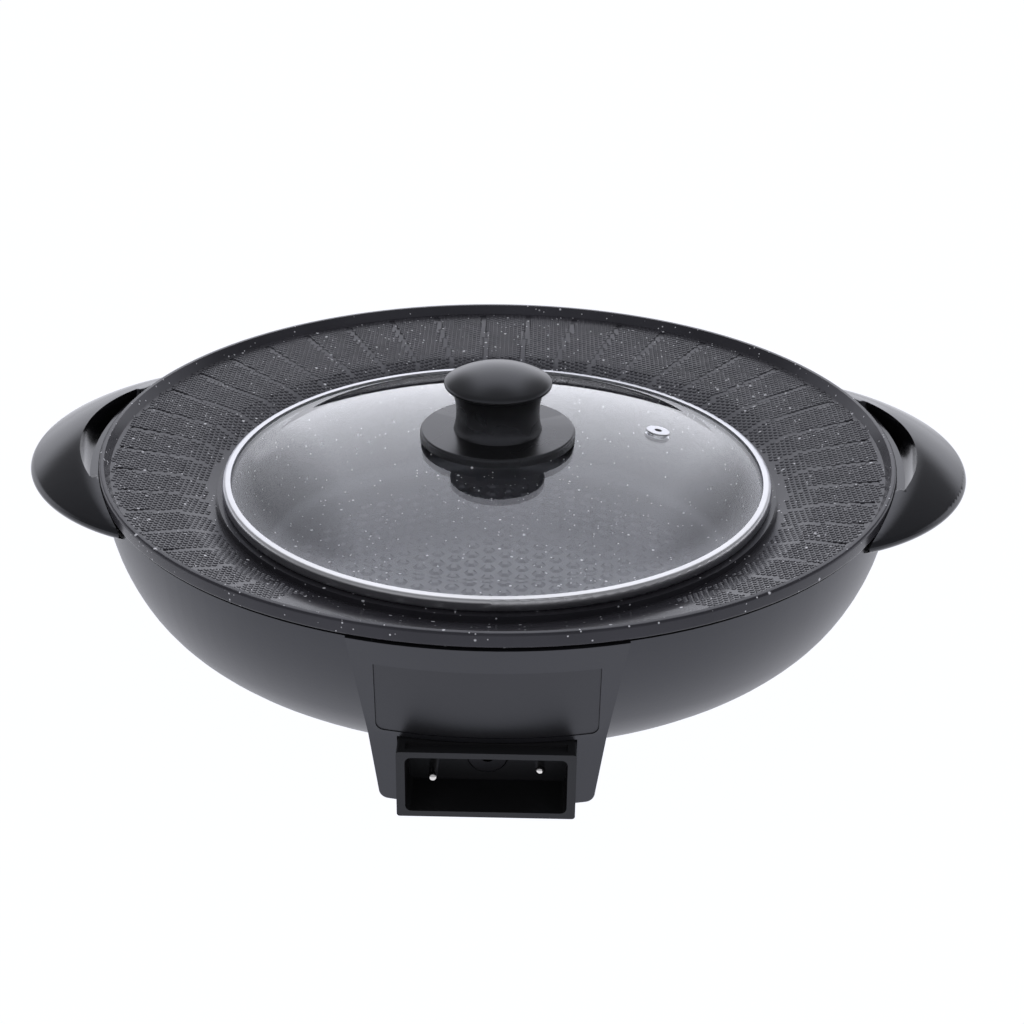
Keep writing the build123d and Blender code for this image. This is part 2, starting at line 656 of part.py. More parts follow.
def make_lid_screw():
    """Screw from below through washer, gasket and glass into the insert."""
    seat = GLASS_TOP_Z - GLASS_T - GASKET_T - WASHER_T
    head = rod(LID_SCREW_HEAD_R, seat - LID_SCREW_HEAD_H, seat, 0, POT_Y)
    head = fillet(head.edges().sort_by(Axis.Z)[0], LID_SCREW_HEAD_H / 2)
    return head + rod(LID_SCREW_R, seat, GLASS_TOP_Z + INSERT_H - 4 * OVER, 0, POT_Y)


def vent_frame():
    """Place of the vent on the upper side of the glass, square to the dome."""
    reach = math.hypot(VENT_X, VENT_Y)
    tilt = math.degrees(math.asin(reach / dome_ball()[0]))
    turn = math.degrees(math.atan2(VENT_Y, VENT_X))
    return Pos(0, POT_Y, 0) * Rot(0, 0, turn) * Pos(reach, 0, dome_z(reach)) * Rot(0, tilt, 0)


def make_vent():
    """Steel eyelet through the glass."""
    low = -GLASS_T - SLIP
    head = fillet(rod(VENT_R, SLIP, SLIP + VENT_LIP).edges().sort_by(Axis.Z)[-1], VENT_LIP / 2)
    body = head + rod(VENT_NECK_R, low, SLIP + VENT_LIP / 2) + rod(VENT_R, low - VENT_LIP, low)
    return vent_frame() * (body - rod(VENT_HOLE_R, -HIGH / 2, HIGH / 2))


NODES = {
    "base_shell": make_base(),
    "front_panel": make_panel(),
    "socket_housing": make_socket(),
    "terminal_pin_left": make_pin(-PIN_X, PIN_LEFT_Y),
    "terminal_pin_right": make_pin(PIN_X, PIN_RIGHT_Y),
    "probe_sleeve": make_sleeve(),
    "socket_screws": make_socket_screws(),
    "handle_left": make_handle(-1),
    "handle_right": make_handle(1),
    "handle_screws": make_handle_screws(),
    "feet": make_feet(),
    "heat_shield": make_shield(),
    "shield_spacers": make_spacers(),
    "heating_element": make_heater(),
    "pan_screws": make_pan_screws(),
    "grill_pan": make_pan(),
    "lid_rim": make_lid_rim(),
    "lid_glass": make_glass(),
    "knob_base": make_knob_base(),
    "lid_knob": make_knob(),
    "knob_insert": make_insert(),
    "knob_gasket": under_glass(GASKET_R, 0, GASKET_T),
    "knob_washer": under_glass(WASHER_R, GASKET_T, WASHER_T),
    "knob_screw": make_lid_screw(),
    "vent_grommet": make_vent(),
}

for name, shape in NODES.items():
    shape.label = name
    export_step(shape, f"parts/{name}.step")
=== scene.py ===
"""Round table-top griddle: finishes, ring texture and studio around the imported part."""

import json
import math

import bmesh
import bpy
from mathutils import Euler, Matrix, Vector


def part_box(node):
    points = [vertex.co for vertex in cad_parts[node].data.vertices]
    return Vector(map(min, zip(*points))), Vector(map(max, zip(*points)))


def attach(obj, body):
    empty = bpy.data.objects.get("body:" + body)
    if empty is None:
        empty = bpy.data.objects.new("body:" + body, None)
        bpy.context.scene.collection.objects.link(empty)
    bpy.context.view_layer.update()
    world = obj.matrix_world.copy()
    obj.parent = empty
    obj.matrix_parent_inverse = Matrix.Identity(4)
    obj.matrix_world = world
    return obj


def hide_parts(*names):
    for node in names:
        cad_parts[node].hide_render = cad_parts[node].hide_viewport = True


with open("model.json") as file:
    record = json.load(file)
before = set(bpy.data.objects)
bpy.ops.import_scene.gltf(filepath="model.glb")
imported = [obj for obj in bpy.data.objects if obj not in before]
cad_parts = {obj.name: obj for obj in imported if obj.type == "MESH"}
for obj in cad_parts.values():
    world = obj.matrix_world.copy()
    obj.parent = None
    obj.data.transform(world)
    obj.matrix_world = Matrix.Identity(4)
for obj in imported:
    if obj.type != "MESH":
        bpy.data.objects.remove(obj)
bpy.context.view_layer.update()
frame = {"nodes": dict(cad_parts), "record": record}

# Metres. Driving sizes read from the frame
PAN_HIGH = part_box("grill_pan")[1]
LID_LOW, LID_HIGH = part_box("lid_rim")
RIM_R = PAN_HIGH[0]
RIM_Z = PAN_HIGH[2]
POT_Y = (LID_LOW[1] + LID_HIGH[1]) / 2

# Grips: a round outline off the side of the pan, and how steeply the top and the belly swell from its edge
GRIP_R = 0.1037
GRIP_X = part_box("handle_right")[1][0] - GRIP_R
GRIP_EDGE_DROP = 0.0092
GRIP_EDGE_Z = RIM_Z - GRIP_EDGE_DROP
GRIP_EDGE_ROUND = 0.002
GRIP_TOP_SLOPE = 0.42
GRIP_LOW_SLOPE = 0.5
SLOT_GAP = 0.0042
SLOT_IN_R = RIM_R + SLOT_GAP
GRIP_LEDGE_Y = 0.0502

# Meshes of the smooth stand-ins: longest edge of a grip, rounds of splitting, and the gap that is merged
GRIP_MESH = 0.006
GRIP_ROUNDS = 4
MERGE_GAP = 1e-6

# Bump fields: the grill ring between its smooth bands, and the floor of the pot. A width or an angle below
# zero leaves nothing smooth
NOWHERE = -1.0
RING_BUMPS = {
    "Pitch": 0.0026,
    "Outer Radius": 0.1822,
    "Outer Centre Y": 0.0,
    "Inner Radius": 0.1355,
    "Inner Centre Y": POT_Y,
    "Band Count": 48.0,
    "Band Half Width": 0.0011,
    "Smooth Half Angle": math.radians(34),
    "Bump Radius": 0.00125,
    "Bump Top Radius": 0.0006,
    "Bump Height": 0.0003,
    "Seed": 5,
}
POT_BUMPS = RING_BUMPS | {
    "Pitch": 0.0092,
    "Outer Radius": 0.098,
    "Outer Centre Y": POT_Y,
    "Inner Radius": 0.0,
    "Band Half Width": NOWHERE,
    "Smooth Half Angle": NOWHERE,
    "Bump Radius": 0.0036,
    "Bump Top Radius": 0.0018,
    "Bump Height": 0.0009,
    "Seed": 9,
}
BUMP_SIDES = 6
BUMP_SCALE = (0.9, 1.1)
GRID_SPAN = 2.1  # in outer radii, a little wider than the field
ROW_STEP = math.sqrt(0.75)  # in pitches, so that bumps of neighbouring rows are a pitch apart
WHOLE_BANDS = 1000.0  # bands added before a fraction is taken, so that it is never of a negative number
DROP_HEIGHT = 2 * RIM_Z  # from which a ray looks for the surface under a bump
DROP_LENGTH = 4 * RIM_Z

# Finishes: scales of the uneven colour, places of its two tones, depths of the fine grain, and sheen
PLASTIC_CLOUD = 14.0
COATING_CLOUD = 25.0
METAL_CLOUD = 40.0
GLASS_CLOUD = 30.0
CLOUD_DETAIL = 3.0
GRAIN_DETAIL = 2.0
NOISE_ROUGHNESS = 0.55
TONE_PLACES = (0.3, 0.7)
GRAIN_DEPTH = 0.0002
METAL_GRAIN_DEPTH = 0.0001
PLAIN_SHEEN = 0.5
COATING_SHEEN = 0.35
SHEEN_TINT = (0.9, 0.92, 1.0, 1.0)
GLASS_BEND = 1.5

# Pale specks of the coating. A speck is full up to a share of its size and fades out from there
BIG_SPECKS = {"scale": 170.0, "size": 0.15, "share": 0.28, "seed": 3.0}
SMALL_SPECKS = {"scale": 420.0, "size": 0.2, "share": 0.2, "seed": 7.0}
SPECK_FULL = 0.6
SPECK_SHIFT = (1.0, 0.7, 0.3)
SPECK_TONE = (0.95, 0.95, 0.97, 1.0)

# Camera: azimuth and elevation round the centre of the rim, then a small turn of the view
CAMERA_AZ = math.radians(1.143)
CAMERA_EL = math.radians(23.922)
CAMERA_TURN = math.radians(-0.456)
CAMERA_DIP = math.radians(2.447)
CAMERA_ROLL = math.radians(0.555)
CAMERA_REACH = 0.85
CAMERA_LENS = 62.2
SENSOR = 36.0

# Surroundings as light: a white wall behind, low at the sides and taller in the middle, in a dim room.
# Each pair gives the two values of a part of the view direction between which an area fades in or out
WALL_LIGHT = 1.25
PANEL_LIGHT = 1.6
ROOM_LIGHT = 0.28
FRONT_LIGHT = 0.5
FRONT_EDGE = (-0.55, -0.15)
WALL_START = (-0.2, 0.3)
LOW_WALL_TOP = (0.26, 0.42)
PANEL_EDGE = (0.25, 0.42)
PANEL_TOP = (0.85, 0.97)
STUDIO_TINT = (0.95, 0.96, 1.03)
SEEN_LIGHT = 1.06
FLOOR_GLOW = 0.98
FLOOR_TONE = (0.9, 0.9, 0.9, 1)
FLOOR_HALF = 6.0

# Ends of a range: from nothing to all, and from all to nothing
RISE = (0.0, 1.0)
FALL = (1.0, 0.0)


def feed(tree, socket, value):
    """Set a socket to a number, or link another socket to it."""
    if isinstance(value, (int, float)):
        socket.default_value = value
    else:
        tree.links.new(value, socket)


def calc(tree, operation, *values):
    """Math node fed by sockets and numbers."""
    node = tree.nodes.new("ShaderNodeMath")
    node.operation = operation
    for socket, value in zip(node.inputs, values):
        feed(tree, socket, value)
    return node.outputs["Value"]


def triple(tree, x, y, z):
    """Vector from three sockets or numbers."""
    node = tree.nodes.new("ShaderNodeCombineXYZ")
    for socket, value in zip(node.inputs, (x, y, z)):
        feed(tree, socket, value)
    return node.outputs["Vector"]


def remap(tree, value, source, target):
    """Map one range of a socket to another, with its ends held."""
    node = tree.nodes.new("ShaderNodeMapRange")
    node.inputs["From Min"].default_value = source[0]
    node.inputs["From Max"].default_value = source[1]
    node.inputs["To Min"].default_value = target[0]
    node.inputs["To Max"].default_value = target[1]
    tree.links.new(value, node.inputs["Value"])
    return node.outputs["Result"]


def shader(name):
    """New node material with its tree and its main shader."""
    material = bpy.data.materials.new(name)
    material.use_nodes = True
    tree = material.node_tree
    bsdf = tree.nodes["Principled BSDF"]
    bsdf.inputs["Specular Tint"].default_value = SHEEN_TINT
    return material, tree, bsdf


def object_noise(tree, scale, detail=CLOUD_DETAIL):
    """Noise on Object coordinates."""
    coords = tree.nodes.new("ShaderNodeTexCoord")
    noise = tree.nodes.new("ShaderNodeTexNoise")
    noise.inputs["Scale"].default_value = scale
    noise.inputs["Detail"].default_value = detail
    noise.inputs["Roughness"].default_value = NOISE_ROUGHNESS
    tree.links.new(coords.outputs["Object"], noise.inputs["Vector"])
    return noise.outputs["Fac"]


def two_tone(tree, source, tones):
    """Colour that runs from a dark to a light tone with a socket."""
    node = tree.nodes.new("ShaderNodeValToRGB")
    for element, place, tone in zip(node.color_ramp.elements, TONE_PLACES, tones):
        element.position = place
        element.color = (*tone, 1.0)
    tree.links.new(source, node.inputs["Fac"])
    return node.outputs["Color"]


def add_grain(tree, bsdf, grain, strength, depth):
    """Fine bump all over a finish."""
    bump = tree.nodes.new("ShaderNodeBump")
    bump.inputs["Strength"].default_value = strength
    bump.inputs["Distance"].default_value = depth
    tree.links.new(object_noise(tree, grain, GRAIN_DETAIL), bump.inputs["Height"])
    tree.links.new(bump.outputs["Normal"], bsdf.inputs["Normal"])


def uneven(tree, bsdf, scale, tones, roughness):
    """Colour and roughness that wander a little over the surface. Returns the colour."""
    cloud = object_noise(tree, scale)
    colour = two_tone(tree, cloud, tones)
    tree.links.new(colour, bsdf.inputs["Base Color"])
    tree.links.new(remap(tree, cloud, RISE, roughness), bsdf.inputs["Roughness"])
    return colour


def plastic(name, tones, roughness, grain, bump, sheen=PLAIN_SHEEN):
    """Moulded plastic: slightly uneven colour and gloss with a fine grain."""
    material, tree, bsdf = shader(name)
    bsdf.inputs["Specular IOR Level"].default_value = sheen
    uneven(tree, bsdf, PLASTIC_CLOUD, tones, roughness)
    add_grain(tree, bsdf, grain, bump, GRAIN_DEPTH)
    return material


def specks(tree, scale, size, share, seed):
    """Scattered round specks as a 0 to 1 mask; only a share of the cells holds one."""
    coords = tree.nodes.new("ShaderNodeTexCoord")
    shift = tree.nodes.new("ShaderNodeMapping")
    shift.inputs["Location"].default_value = [seed * part for part in SPECK_SHIFT]
    tree.links.new(coords.outputs["Object"], shift.inputs["Vector"])
    cells = tree.nodes.new("ShaderNodeTexVoronoi")
    cells.inputs["Scale"].default_value = scale
    tree.links.new(shift.outputs["Vector"], cells.inputs["Vector"])
    split = tree.nodes.new("ShaderNodeSeparateColor")
    tree.links.new(cells.outputs["Color"], split.inputs["Color"])
    chosen = calc(tree, "LESS_THAN", split.outputs["Red"], share)
    dot = remap(tree, cells.outputs["Distance"], (size, size * SPECK_FULL), RISE)
    return calc(tree, "MULTIPLY", dot, chosen)


def stone_coating(name, tones, roughness, grain, bump):
    """Dark non-stick coating with pale specks of two sizes."""
    material, tree, bsdf = shader(name)
    bsdf.inputs["Specular IOR Level"].default_value = COATING_SHEEN
    ground = uneven(tree, bsdf, COATING_CLOUD, tones, roughness)
    pale = calc(tree, "MAXIMUM", specks(tree, **BIG_SPECKS), specks(tree, **SMALL_SPECKS))
    mix = tree.nodes.new("ShaderNodeMix")
    mix.data_type = "RGBA"
    mix.inputs["B"].default_value = SPECK_TONE
    tree.links.new(pale, mix.inputs["Factor"])
    tree.links.new(ground, mix.inputs["A"])
    tree.links.new(mix.outputs["Result"], bsdf.inputs["Base Color"])
    add_grain(tree, bsdf, grain, bump, GRAIN_DEPTH)
    return material


def metal(name, tones, roughness, grain, bump):
    """Bare metal with faint uneven polish."""
    material, tree, bsdf = shader(name)
    bsdf.inputs["Metallic"].default_value = 1.0
    uneven(tree, bsdf, METAL_CLOUD, tones, roughness)
    add_grain(tree, bsdf, grain, bump, METAL_GRAIN_DEPTH)
    return material


def clear_glass(name, tones, roughness):
    """Clear lid glass with a faint uneven polish."""
    material, tree, bsdf = shader(name)
    bsdf.inputs["Transmission Weight"].default_value = 1.0
    bsdf.inputs["IOR"].default_value = GLASS_BEND
    uneven(tree, bsdf, GLASS_CLOUD, tones, roughness)
    return material


# One finish for each material slot of the record: a dark and a light tone, a range of roughness, the scale
# of the grain and the strength of its bump
FINISH = {
    "base_black": plastic(
        "base_satin",
        tones=((0.012, 0.012, 0.013), (0.022, 0.022, 0.025)),
        roughness=(0.3, 0.38),
        grain=900.0,
        bump=0.12,
        sheen=0.8,
    ),
    "panel_black": plastic(
        "panel_matt",
        tones=((0.014, 0.014, 0.015), (0.022, 0.022, 0.024)),
        roughness=(0.36, 0.44),
        grain=1400.0,
        bump=0.15,
        sheen=0.7,
    ),
    "socket_black": plastic(
        "socket_matt",
        tones=((0.01, 0.01, 0.01), (0.016, 0.016, 0.016)),
        roughness=(0.4, 0.5),
        grain=1100.0,
        bump=0.12,
    ),
    "handle_gloss": plastic(
        "handle_polish",
        tones=((0.006, 0.006, 0.007), (0.01, 0.01, 0.011)),
        roughness=(0.1, 0.16),
        grain=500.0,
        bump=0.03,
    ),
    "knob_black": plastic(
        "knob_satin",
        tones=((0.01, 0.01, 0.01), (0.016, 0.016, 0.016)),
        roughness=(0.24, 0.32),
        grain=1200.0,
        bump=0.08,
        sheen=0.55,
    ),
    "pan_coating": stone_coating(
        "pan_stone",
        tones=((0.034, 0.033, 0.038), (0.052, 0.05, 0.058)),
        roughness=(0.18, 0.26),
        grain=900.0,
        bump=0.1,
    ),
    "rim_steel": metal(
        "rim_polish",
        tones=((0.6, 0.6, 0.6), (0.68, 0.68, 0.68)),
        roughness=(0.3, 0.38),
        grain=700.0,
        bump=0.05,
    ),
    "pin_metal": metal(
        "pin_nickel",
        tones=((0.72, 0.7, 0.66), (0.82, 0.8, 0.77)),
        roughness=(0.1, 0.2),
        grain=1500.0,
        bump=0.05,
    ),
    "sleeve_metal": metal(
        "sleeve_dull",
        tones=((0.03, 0.03, 0.033), (0.05, 0.05, 0.055)),
        roughness=(0.35, 0.5),
        grain=1200.0,
        bump=0.1,
    ),
    "screw_steel": metal(
        "screw_zinc",
        tones=((0.5, 0.5, 0.5), (0.62, 0.62, 0.63)),
        roughness=(0.25, 0.4),
        grain=1200.0,
        bump=0.1,
    ),
    "shield_sheet": metal(
        "shield_bare",
        tones=((0.55, 0.55, 0.55), (0.66, 0.66, 0.66)),
        roughness=(0.3, 0.45),
        grain=300.0,
        bump=0.1,
    ),
    "heater_sheath": metal(
        "heater_tube",
        tones=((0.3, 0.28, 0.26), (0.42, 0.4, 0.37)),
        roughness=(0.4, 0.55),
        grain=600.0,
        bump=0.15,
    ),
    "insert_brass": metal(
        "insert_yellow",
        tones=((0.6, 0.45, 0.2), (0.72, 0.56, 0.28)),
        roughness=(0.3, 0.4),
        grain=900.0,
        bump=0.1,
    ),
    "foot_rubber": plastic(
        "foot_soft",
        tones=((0.015, 0.015, 0.015), (0.025, 0.025, 0.025)),
        roughness=(0.7, 0.85),
        grain=700.0,
        bump=0.3,
    ),
    "gasket_rubber": plastic(
        "gasket_pale",
        tones=((0.5, 0.5, 0.48), (0.6, 0.6, 0.57)),
        roughness=(0.5, 0.65),
        grain=700.0,
        bump=0.2,
    ),
    "spacer_resin": plastic(
        "spacer_brown",
        tones=((0.12, 0.07, 0.04), (0.18, 0.11, 0.07)),
        roughness=(0.5, 0.65),
        grain=700.0,
        bump=0.2,
    ),
    "lid_glass": clear_glass(
        "lid_clear",
        tones=((0.93, 0.95, 0.95), (0.97, 0.98, 0.98)),
        roughness=(0.0, 0.008),
    ),
}

SLOT_OF = {row["node"]: row["material_slot"] for row in frame["record"]["subparts"]}
BODY_OF = {node: body for body, nodes in frame["record"]["behaviour"]["bodies"].items() for node in nodes}


def paint(obj, slot):
    """Give an object one finish."""
    obj.data.materials.clear()
    obj.data.materials.append(FINISH[slot])


def refine(shape, longest, rounds):
    """Split long edges a few times over."""
    for _ in range(rounds):
        rough = [edge for edge in shape.edges if edge.calc_length() > longest]
        bmesh.ops.subdivide_edges(shape, edges=rough, cuts=1)
        bmesh.ops.triangulate(shape, faces=[face for face in shape.faces if len(face.verts) > 3])


def swell_grip(shape):
    """Swell a grip from its edge towards the pan, so that its top is domed and its belly deep."""
    refine(shape, GRIP_MESH, GRIP_ROUNDS)
    for vert in shape.verts:
        x, y, z = vert.co
        reach = math.hypot(x, y)
        if reach < SLOT_IN_R and abs(y) < GRIP_LEDGE_Y:
            continue
        outer = max(GRIP_R - math.hypot(abs(x) - GRIP_X, y), 0.0)
        width = outer + max(reach - RIM_R, 0.0)
        share = outer / width
        swell = width * (share - share**2 / 2)
        level = max(-1.0, min(1.0, (z - GRIP_EDGE_Z) / GRIP_EDGE_ROUND))
        vert.co.z += level * swell * (GRIP_TOP_SLOPE if level > 0 else GRIP_LOW_SLOPE)


def smooth_copy(node, piece, sharp_degrees, reshape=None):
    """Stand-in for a CAD node with merged, smoothly shaded faces."""
    mesh = frame["nodes"][node].data.copy()
    shape = bmesh.new()
    shape.from_mesh(mesh)
    bmesh.ops.remove_doubles(shape, verts=shape.verts, dist=MERGE_GAP)
    if reshape:
        reshape(shape)
    limit = math.radians(sharp_degrees)
    for edge in shape.edges:
        edge.smooth = edge.calc_face_angle(math.pi) < limit
    for face in shape.faces:
        face.smooth = True
    shape.to_mesh(mesh)
    shape.free()
    if mesh.has_custom_normals:
        mesh.attributes.remove(mesh.attributes["custom_normal"])
    obj = bpy.data.objects.new(piece, mesh)
    bpy.context.scene.collection.objects.link(obj)
    paint(obj, SLOT_OF[node])
    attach(obj, BODY_OF[node])
    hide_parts(node)


# CAD nodes with a smooth stand-in: its name, the degrees past which an edge stays sharp, and any reshaping
SMOOTHED = {
    "grill_pan": ("pan_casting", 25),
    "base_shell": ("base_moulding", 25),
    "handle_left": ("grip_left", 35, swell_grip),
    "handle_right": ("grip_right", 35, swell_grip),
    "lid_rim": ("lid_band", 40),
    "lid_glass": ("lid_dome", 30),
    "knob_base": ("knob_flange", 40),
    "lid_knob": ("knob_cap", 40),
}


def flat_length(tree, x, y):
    """Length of a flat vector."""
    squares = calc(tree, "ADD", calc(tree, "MULTIPLY", x, x), calc(tree, "MULTIPLY", y, y))
    return calc(tree, "SQRT", squares)


def bump_rules(tree, size, x, y):
    """1 where a bump belongs: inside the field, off the bands and off the smooth front."""
    inner_y = calc(tree, "SUBTRACT", y, size["Inner Centre Y"])
    outer_y = calc(tree, "SUBTRACT", y, size["Outer Centre Y"])
    reach = flat_length(tree, x, inner_y)
    turn = calc(tree, "DIVIDE", calc(tree, "ARCTAN2", inner_y, x), math.tau)
    bands = calc(tree, "MULTIPLY", turn, size["Band Count"])
    cell = calc(tree, "FRACT", calc(tree, "ADD", bands, WHOLE_BANDS))
    off_middle = calc(tree, "ABSOLUTE", calc(tree, "SUBTRACT", cell, 0.5))
    swing = calc(tree, "DIVIDE", calc(tree, "MULTIPLY", off_middle, math.tau), size["Band Count"])
    aside = calc(tree, "MULTIPLY", reach, calc(tree, "SINE", swing))
    forward = calc(tree, "MULTIPLY", inner_y, -1.0)
    from_front = calc(tree, "ABSOLUTE", calc(tree, "ARCTAN2", x, forward))
    keep = calc(tree, "GREATER_THAN", reach, size["Inner Radius"])
    for rule in (
        calc(tree, "LESS_THAN", flat_length(tree, x, outer_y), size["Outer Radius"]),
        calc(tree, "GREATER_THAN", aside, size["Band Half Width"]),
        calc(tree, "GREATER_THAN", from_front, size["Smooth Half Angle"]),
    ):
        keep = calc(tree, "MULTIPLY", keep, rule)
    return keep


def staggered_points(tree, size):
    """Flat grid with every other row moved by half a pitch."""
    span = calc(tree, "MULTIPLY", size["Outer Radius"], GRID_SPAN)
    row_step = calc(tree, "MULTIPLY", size["Pitch"], ROW_STEP)
    rows = calc(tree, "CEIL", calc(tree, "DIVIDE", span, row_step))
    columns = calc(tree, "CEIL", calc(tree, "DIVIDE", span, size["Pitch"]))
    grid = tree.nodes.new("GeometryNodeMeshGrid")
    for name, value in {"Size X": span, "Size Y": span, "Vertices X": rows, "Vertices Y": columns}.items():
        tree.links.new(value, grid.inputs[name])
    index = tree.nodes.new("GeometryNodeInputIndex").outputs["Index"]
    row = calc(tree, "FLOOR", calc(tree, "DIVIDE", index, columns))
    half_pitch = calc(tree, "MULTIPLY", size["Pitch"], 0.5)
    stagger = calc(tree, "MULTIPLY", calc(tree, "MODULO", row, 2.0), half_pitch)
    move = triple(tree, 0.0, calc(tree, "ADD", stagger, size["Outer Centre Y"]), 0.0)
    shifted = tree.nodes.new("GeometryNodeSetPosition")
    tree.links.new(grid.outputs["Mesh"], shifted.inputs["Geometry"])
    tree.links.new(move, shifted.inputs["Offset"])
    return shifted.outputs["Geometry"]


def land_points(tree, size, points):
    """Drop the points that the rules keep onto the surface below. Returns them and the surface normal."""
    place = tree.nodes.new("ShaderNodeSeparateXYZ")
    position = tree.nodes.new("GeometryNodeInputPosition").outputs["Position"]
    tree.links.new(position, place.inputs["Vector"])
    x = place.outputs["X"]
    y = place.outputs["Y"]
    drop = tree.nodes.new("GeometryNodeRaycast")
    tree.links.new(size["Geometry"], drop.inputs["Target Geometry"])
    tree.links.new(triple(tree, x, y, DROP_HEIGHT), drop.inputs["Source Position"])
    drop.inputs["Ray Direction"].default_value = (0, 0, -1)
    drop.inputs["Ray Length"].default_value = DROP_LENGTH
    keep = calc(tree, "MULTIPLY", bump_rules(tree, size, x, y), drop.outputs["Is Hit"])
    trimmed = tree.nodes.new("GeometryNodeDeleteGeometry")
    tree.links.new(points, trimmed.inputs["Geometry"])
    tree.links.new(calc(tree, "LESS_THAN", keep, 0.5), trimmed.inputs["Selection"])
    landed = tree.nodes.new("GeometryNodeSetPosition")
    tree.links.new(trimmed.outputs["Geometry"], landed.inputs["Geometry"])
    tree.links.new(drop.outputs["Hit Position"], landed.inputs["Position"])
    return landed.outputs["Geometry"], drop.outputs["Hit Normal"]


def set_bumps(tree, size, points, normal):
    """Low blunt cones of slightly uneven size, one on each point and square to the surface."""
    cone = tree.nodes.new("GeometryNodeMeshCone")
    cone.inputs["Vertices"].default_value = BUMP_SIDES
    tree.links.new(size["Bump Top Radius"], cone.inputs["Radius Top"])
    tree.links.new(size["Bump Radius"], cone.inputs["Radius Bottom"])
    tree.links.new(size["Bump Height"], cone.inputs["Depth"])
    upright = tree.nodes.new("FunctionNodeAlignRotationToVector")
    upright.axis = "Z"
    tree.links.new(normal, upright.inputs["Vector"])
    chance = tree.nodes.new("FunctionNodeRandomValue")
    ends = [socket for socket in chance.inputs if socket.type == "VALUE"]
    for socket, value in zip(ends, BUMP_SCALE):
        socket.default_value = value
    tree.links.new(size["Seed"], chance.inputs["Seed"])
    amount = next(socket for socket in chance.outputs if socket.type == "VALUE")
    placed = tree.nodes.new("GeometryNodeInstanceOnPoints")
    tree.links.new(points, placed.inputs["Points"])
    tree.links.new(cone.outputs["Mesh"], placed.inputs["Instance"])
    tree.links.new(upright.outputs["Rotation"], placed.inputs["Rotation"])
    tree.links.new(amount, placed.inputs["Scale"])
    return placed.outputs["Instances"]


def bump_tree(material, sizes):
    """Node tree that sets rows of low bumps on the surface below a grid."""
    tree = bpy.data.node_groups.new("bump_field", "GeometryNodeTree")
    tree.interface.new_socket("Geometry", in_out="INPUT", socket_type="NodeSocketGeometry")
    tree.interface.new_socket("Geometry", in_out="OUTPUT", socket_type="NodeSocketGeometry")
    for name in sizes:
        kind = "NodeSocketInt" if name == "Seed" else "NodeSocketFloat"
        tree.interface.new_socket(name, in_out="INPUT", socket_type=kind)
    size = tree.nodes.new("NodeGroupInput").outputs
    points, normal = land_points(tree, size, staggered_points(tree, size))
    real = tree.nodes.new("GeometryNodeRealizeInstances")
    tree.links.new(set_bumps(tree, size, points, normal), real.inputs["Geometry"])
    coat = tree.nodes.new("GeometryNodeSetMaterial")
    coat.inputs["Material"].default_value = material
    tree.links.new(real.outputs["Geometry"], coat.inputs["Geometry"])
    tree.links.new(coat.outputs["Geometry"], tree.nodes.new("NodeGroupOutput").inputs["Geometry"])
    return tree


def bump_field(piece, ground, tree, sizes):
    """Bumps on a surface as one plain mesh on the base."""
    maker = bpy.data.objects.new(piece, ground.data.copy())
    bpy.context.scene.collection.objects.link(maker)
    field = maker.modifiers.new("bumps", "NODES")
    field.node_group = tree
    for item in tree.interface.items_tree:
        if item.in_out == "INPUT" and item.name in sizes:
            field[item.identifier] = sizes[item.name]
    ready = maker.evaluated_get(bpy.context.evaluated_depsgraph_get())
    mesh = bpy.data.meshes.new_from_object(ready)
    maker.modifiers.remove(field)
    maker.data = mesh
    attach(maker, "base")


def white_backdrop():
    """World that is white to the eye and, as a light, a white wall behind in a dimmer room."""
    world = bpy.data.worlds.new("studio")
    bpy.context.scene.world = world
    world.use_nodes = True
    tree = world.node_tree
    path = tree.nodes.new("ShaderNodeLightPath").outputs
    split = tree.nodes.new("ShaderNodeSeparateXYZ")
    view = tree.nodes.new("ShaderNodeTexCoord").outputs["Generated"]
    tree.links.new(view, split.inputs["Vector"])
    side = calc(tree, "ABSOLUTE", split.outputs["X"])
    depth = split.outputs["Y"]
    height = split.outputs["Z"]
    low_wall = calc(tree, "MULTIPLY", remap(tree, height, LOW_WALL_TOP, FALL), WALL_LIGHT)
    panel = calc(tree, "MULTIPLY", remap(tree, side, PANEL_EDGE, FALL), remap(tree, height, PANEL_TOP, FALL))
    bright = calc(tree, "MAXIMUM", low_wall, calc(tree, "MULTIPLY", panel, PANEL_LIGHT))
    behind = calc(tree, "MULTIPLY", remap(tree, depth, WALL_START, RISE), bright)
    front = calc(tree, "MULTIPLY", remap(tree, depth, FRONT_EDGE, FALL), FRONT_LIGHT)
    lit = calc(tree, "MAXIMUM", behind, calc(tree, "MAXIMUM", front, ROOM_LIGHT))
    seen = calc(tree, "MAXIMUM", path["Is Camera Ray"], path["Is Transmission Ray"])
    white = calc(tree, "MULTIPLY", seen, SEEN_LIGHT)
    back = tree.nodes["Background"]
    back.inputs["Color"].default_value = (*STUDIO_TINT, 1)
    tree.links.new(calc(tree, "MAXIMUM", lit, white), back.inputs["Strength"])


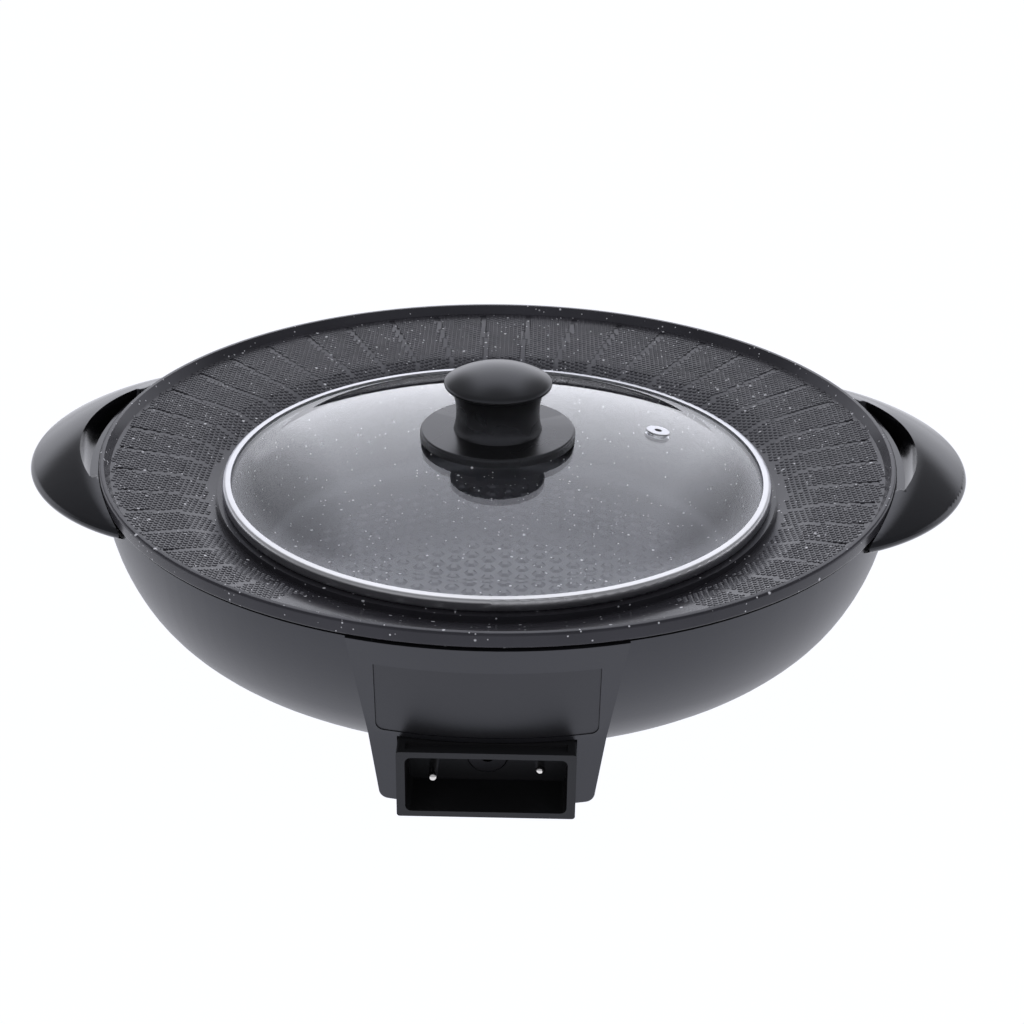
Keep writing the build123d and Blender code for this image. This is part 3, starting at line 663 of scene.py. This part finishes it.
def pale_floor():
    """Wide floor, white to the eye with a faint shadow."""
    mesh = bpy.data.meshes.new("floor")
    corners = [(-1, -1), (1, -1), (1, 1), (-1, 1)]
    mesh.from_pydata([(x * FLOOR_HALF, y * FLOOR_HALF, 0) for x, y in corners], [], [(0, 1, 2, 3)])
    floor = bpy.data.objects.new("floor", mesh)
    bpy.context.scene.collection.objects.link(floor)
    material, tree, bsdf = shader("floor_white")
    bsdf.inputs["Base Color"].default_value = FLOOR_TONE
    bsdf.inputs["Roughness"].default_value = 1.0
    path = tree.nodes.new("ShaderNodeLightPath").outputs
    glow = tree.nodes.new("ShaderNodeEmission")
    glow.inputs["Color"].default_value = (*STUDIO_TINT, 1)
    glow.inputs["Strength"].default_value = SEEN_LIGHT
    mix = tree.nodes.new("ShaderNodeMixShader")
    seen = calc(tree, "MAXIMUM", path["Is Camera Ray"], path["Is Glossy Ray"])
    tree.links.new(calc(tree, "MULTIPLY", seen, FLOOR_GLOW), mix.inputs["Fac"])
    tree.links.new(bsdf.outputs["BSDF"], mix.inputs[1])
    tree.links.new(glow.outputs["Emission"], mix.inputs[2])
    tree.links.new(mix.outputs["Shader"], tree.nodes["Material Output"].inputs["Surface"])
    mesh.materials.append(material)


def add_camera():
    """Camera in front of the pan, looking down a little below the centre of the rim."""
    data = bpy.data.cameras.new("camera")
    data.lens = CAMERA_LENS
    data.sensor_width = SENSOR
    camera = bpy.data.objects.new("camera", data)
    back = Vector(
        (
            math.sin(CAMERA_AZ) * math.cos(CAMERA_EL),
            -math.cos(CAMERA_AZ) * math.cos(CAMERA_EL),
            math.sin(CAMERA_EL),
        )
    )
    aim = Euler((math.pi / 2 - CAMERA_EL, 0, CAMERA_AZ)).to_matrix()
    turn = Matrix.Rotation(-CAMERA_DIP, 3, "X") @ Matrix.Rotation(CAMERA_TURN, 3, "Y")
    camera.rotation_euler = (aim @ turn @ Matrix.Rotation(CAMERA_ROLL, 3, "Z")).to_euler()
    camera.location = Vector((0, 0, RIM_Z)) + CAMERA_REACH * back
    bpy.context.scene.collection.objects.link(camera)
    bpy.context.scene.camera = camera


for node, obj in frame["nodes"].items():
    if node in SMOOTHED:
        smooth_copy(node, *SMOOTHED[node])
    else:
        paint(obj, SLOT_OF[node])

pan = bpy.data.objects["pan_casting"]
bumps = bump_tree(FINISH["pan_coating"], RING_BUMPS)
bump_field("ring_bumps", pan, bumps, RING_BUMPS)
bump_field("pot_bumps", pan, bumps, POT_BUMPS)

white_backdrop()
pale_floor()
add_camera()
bpy.context.scene.view_settings.view_transform = "Standard"
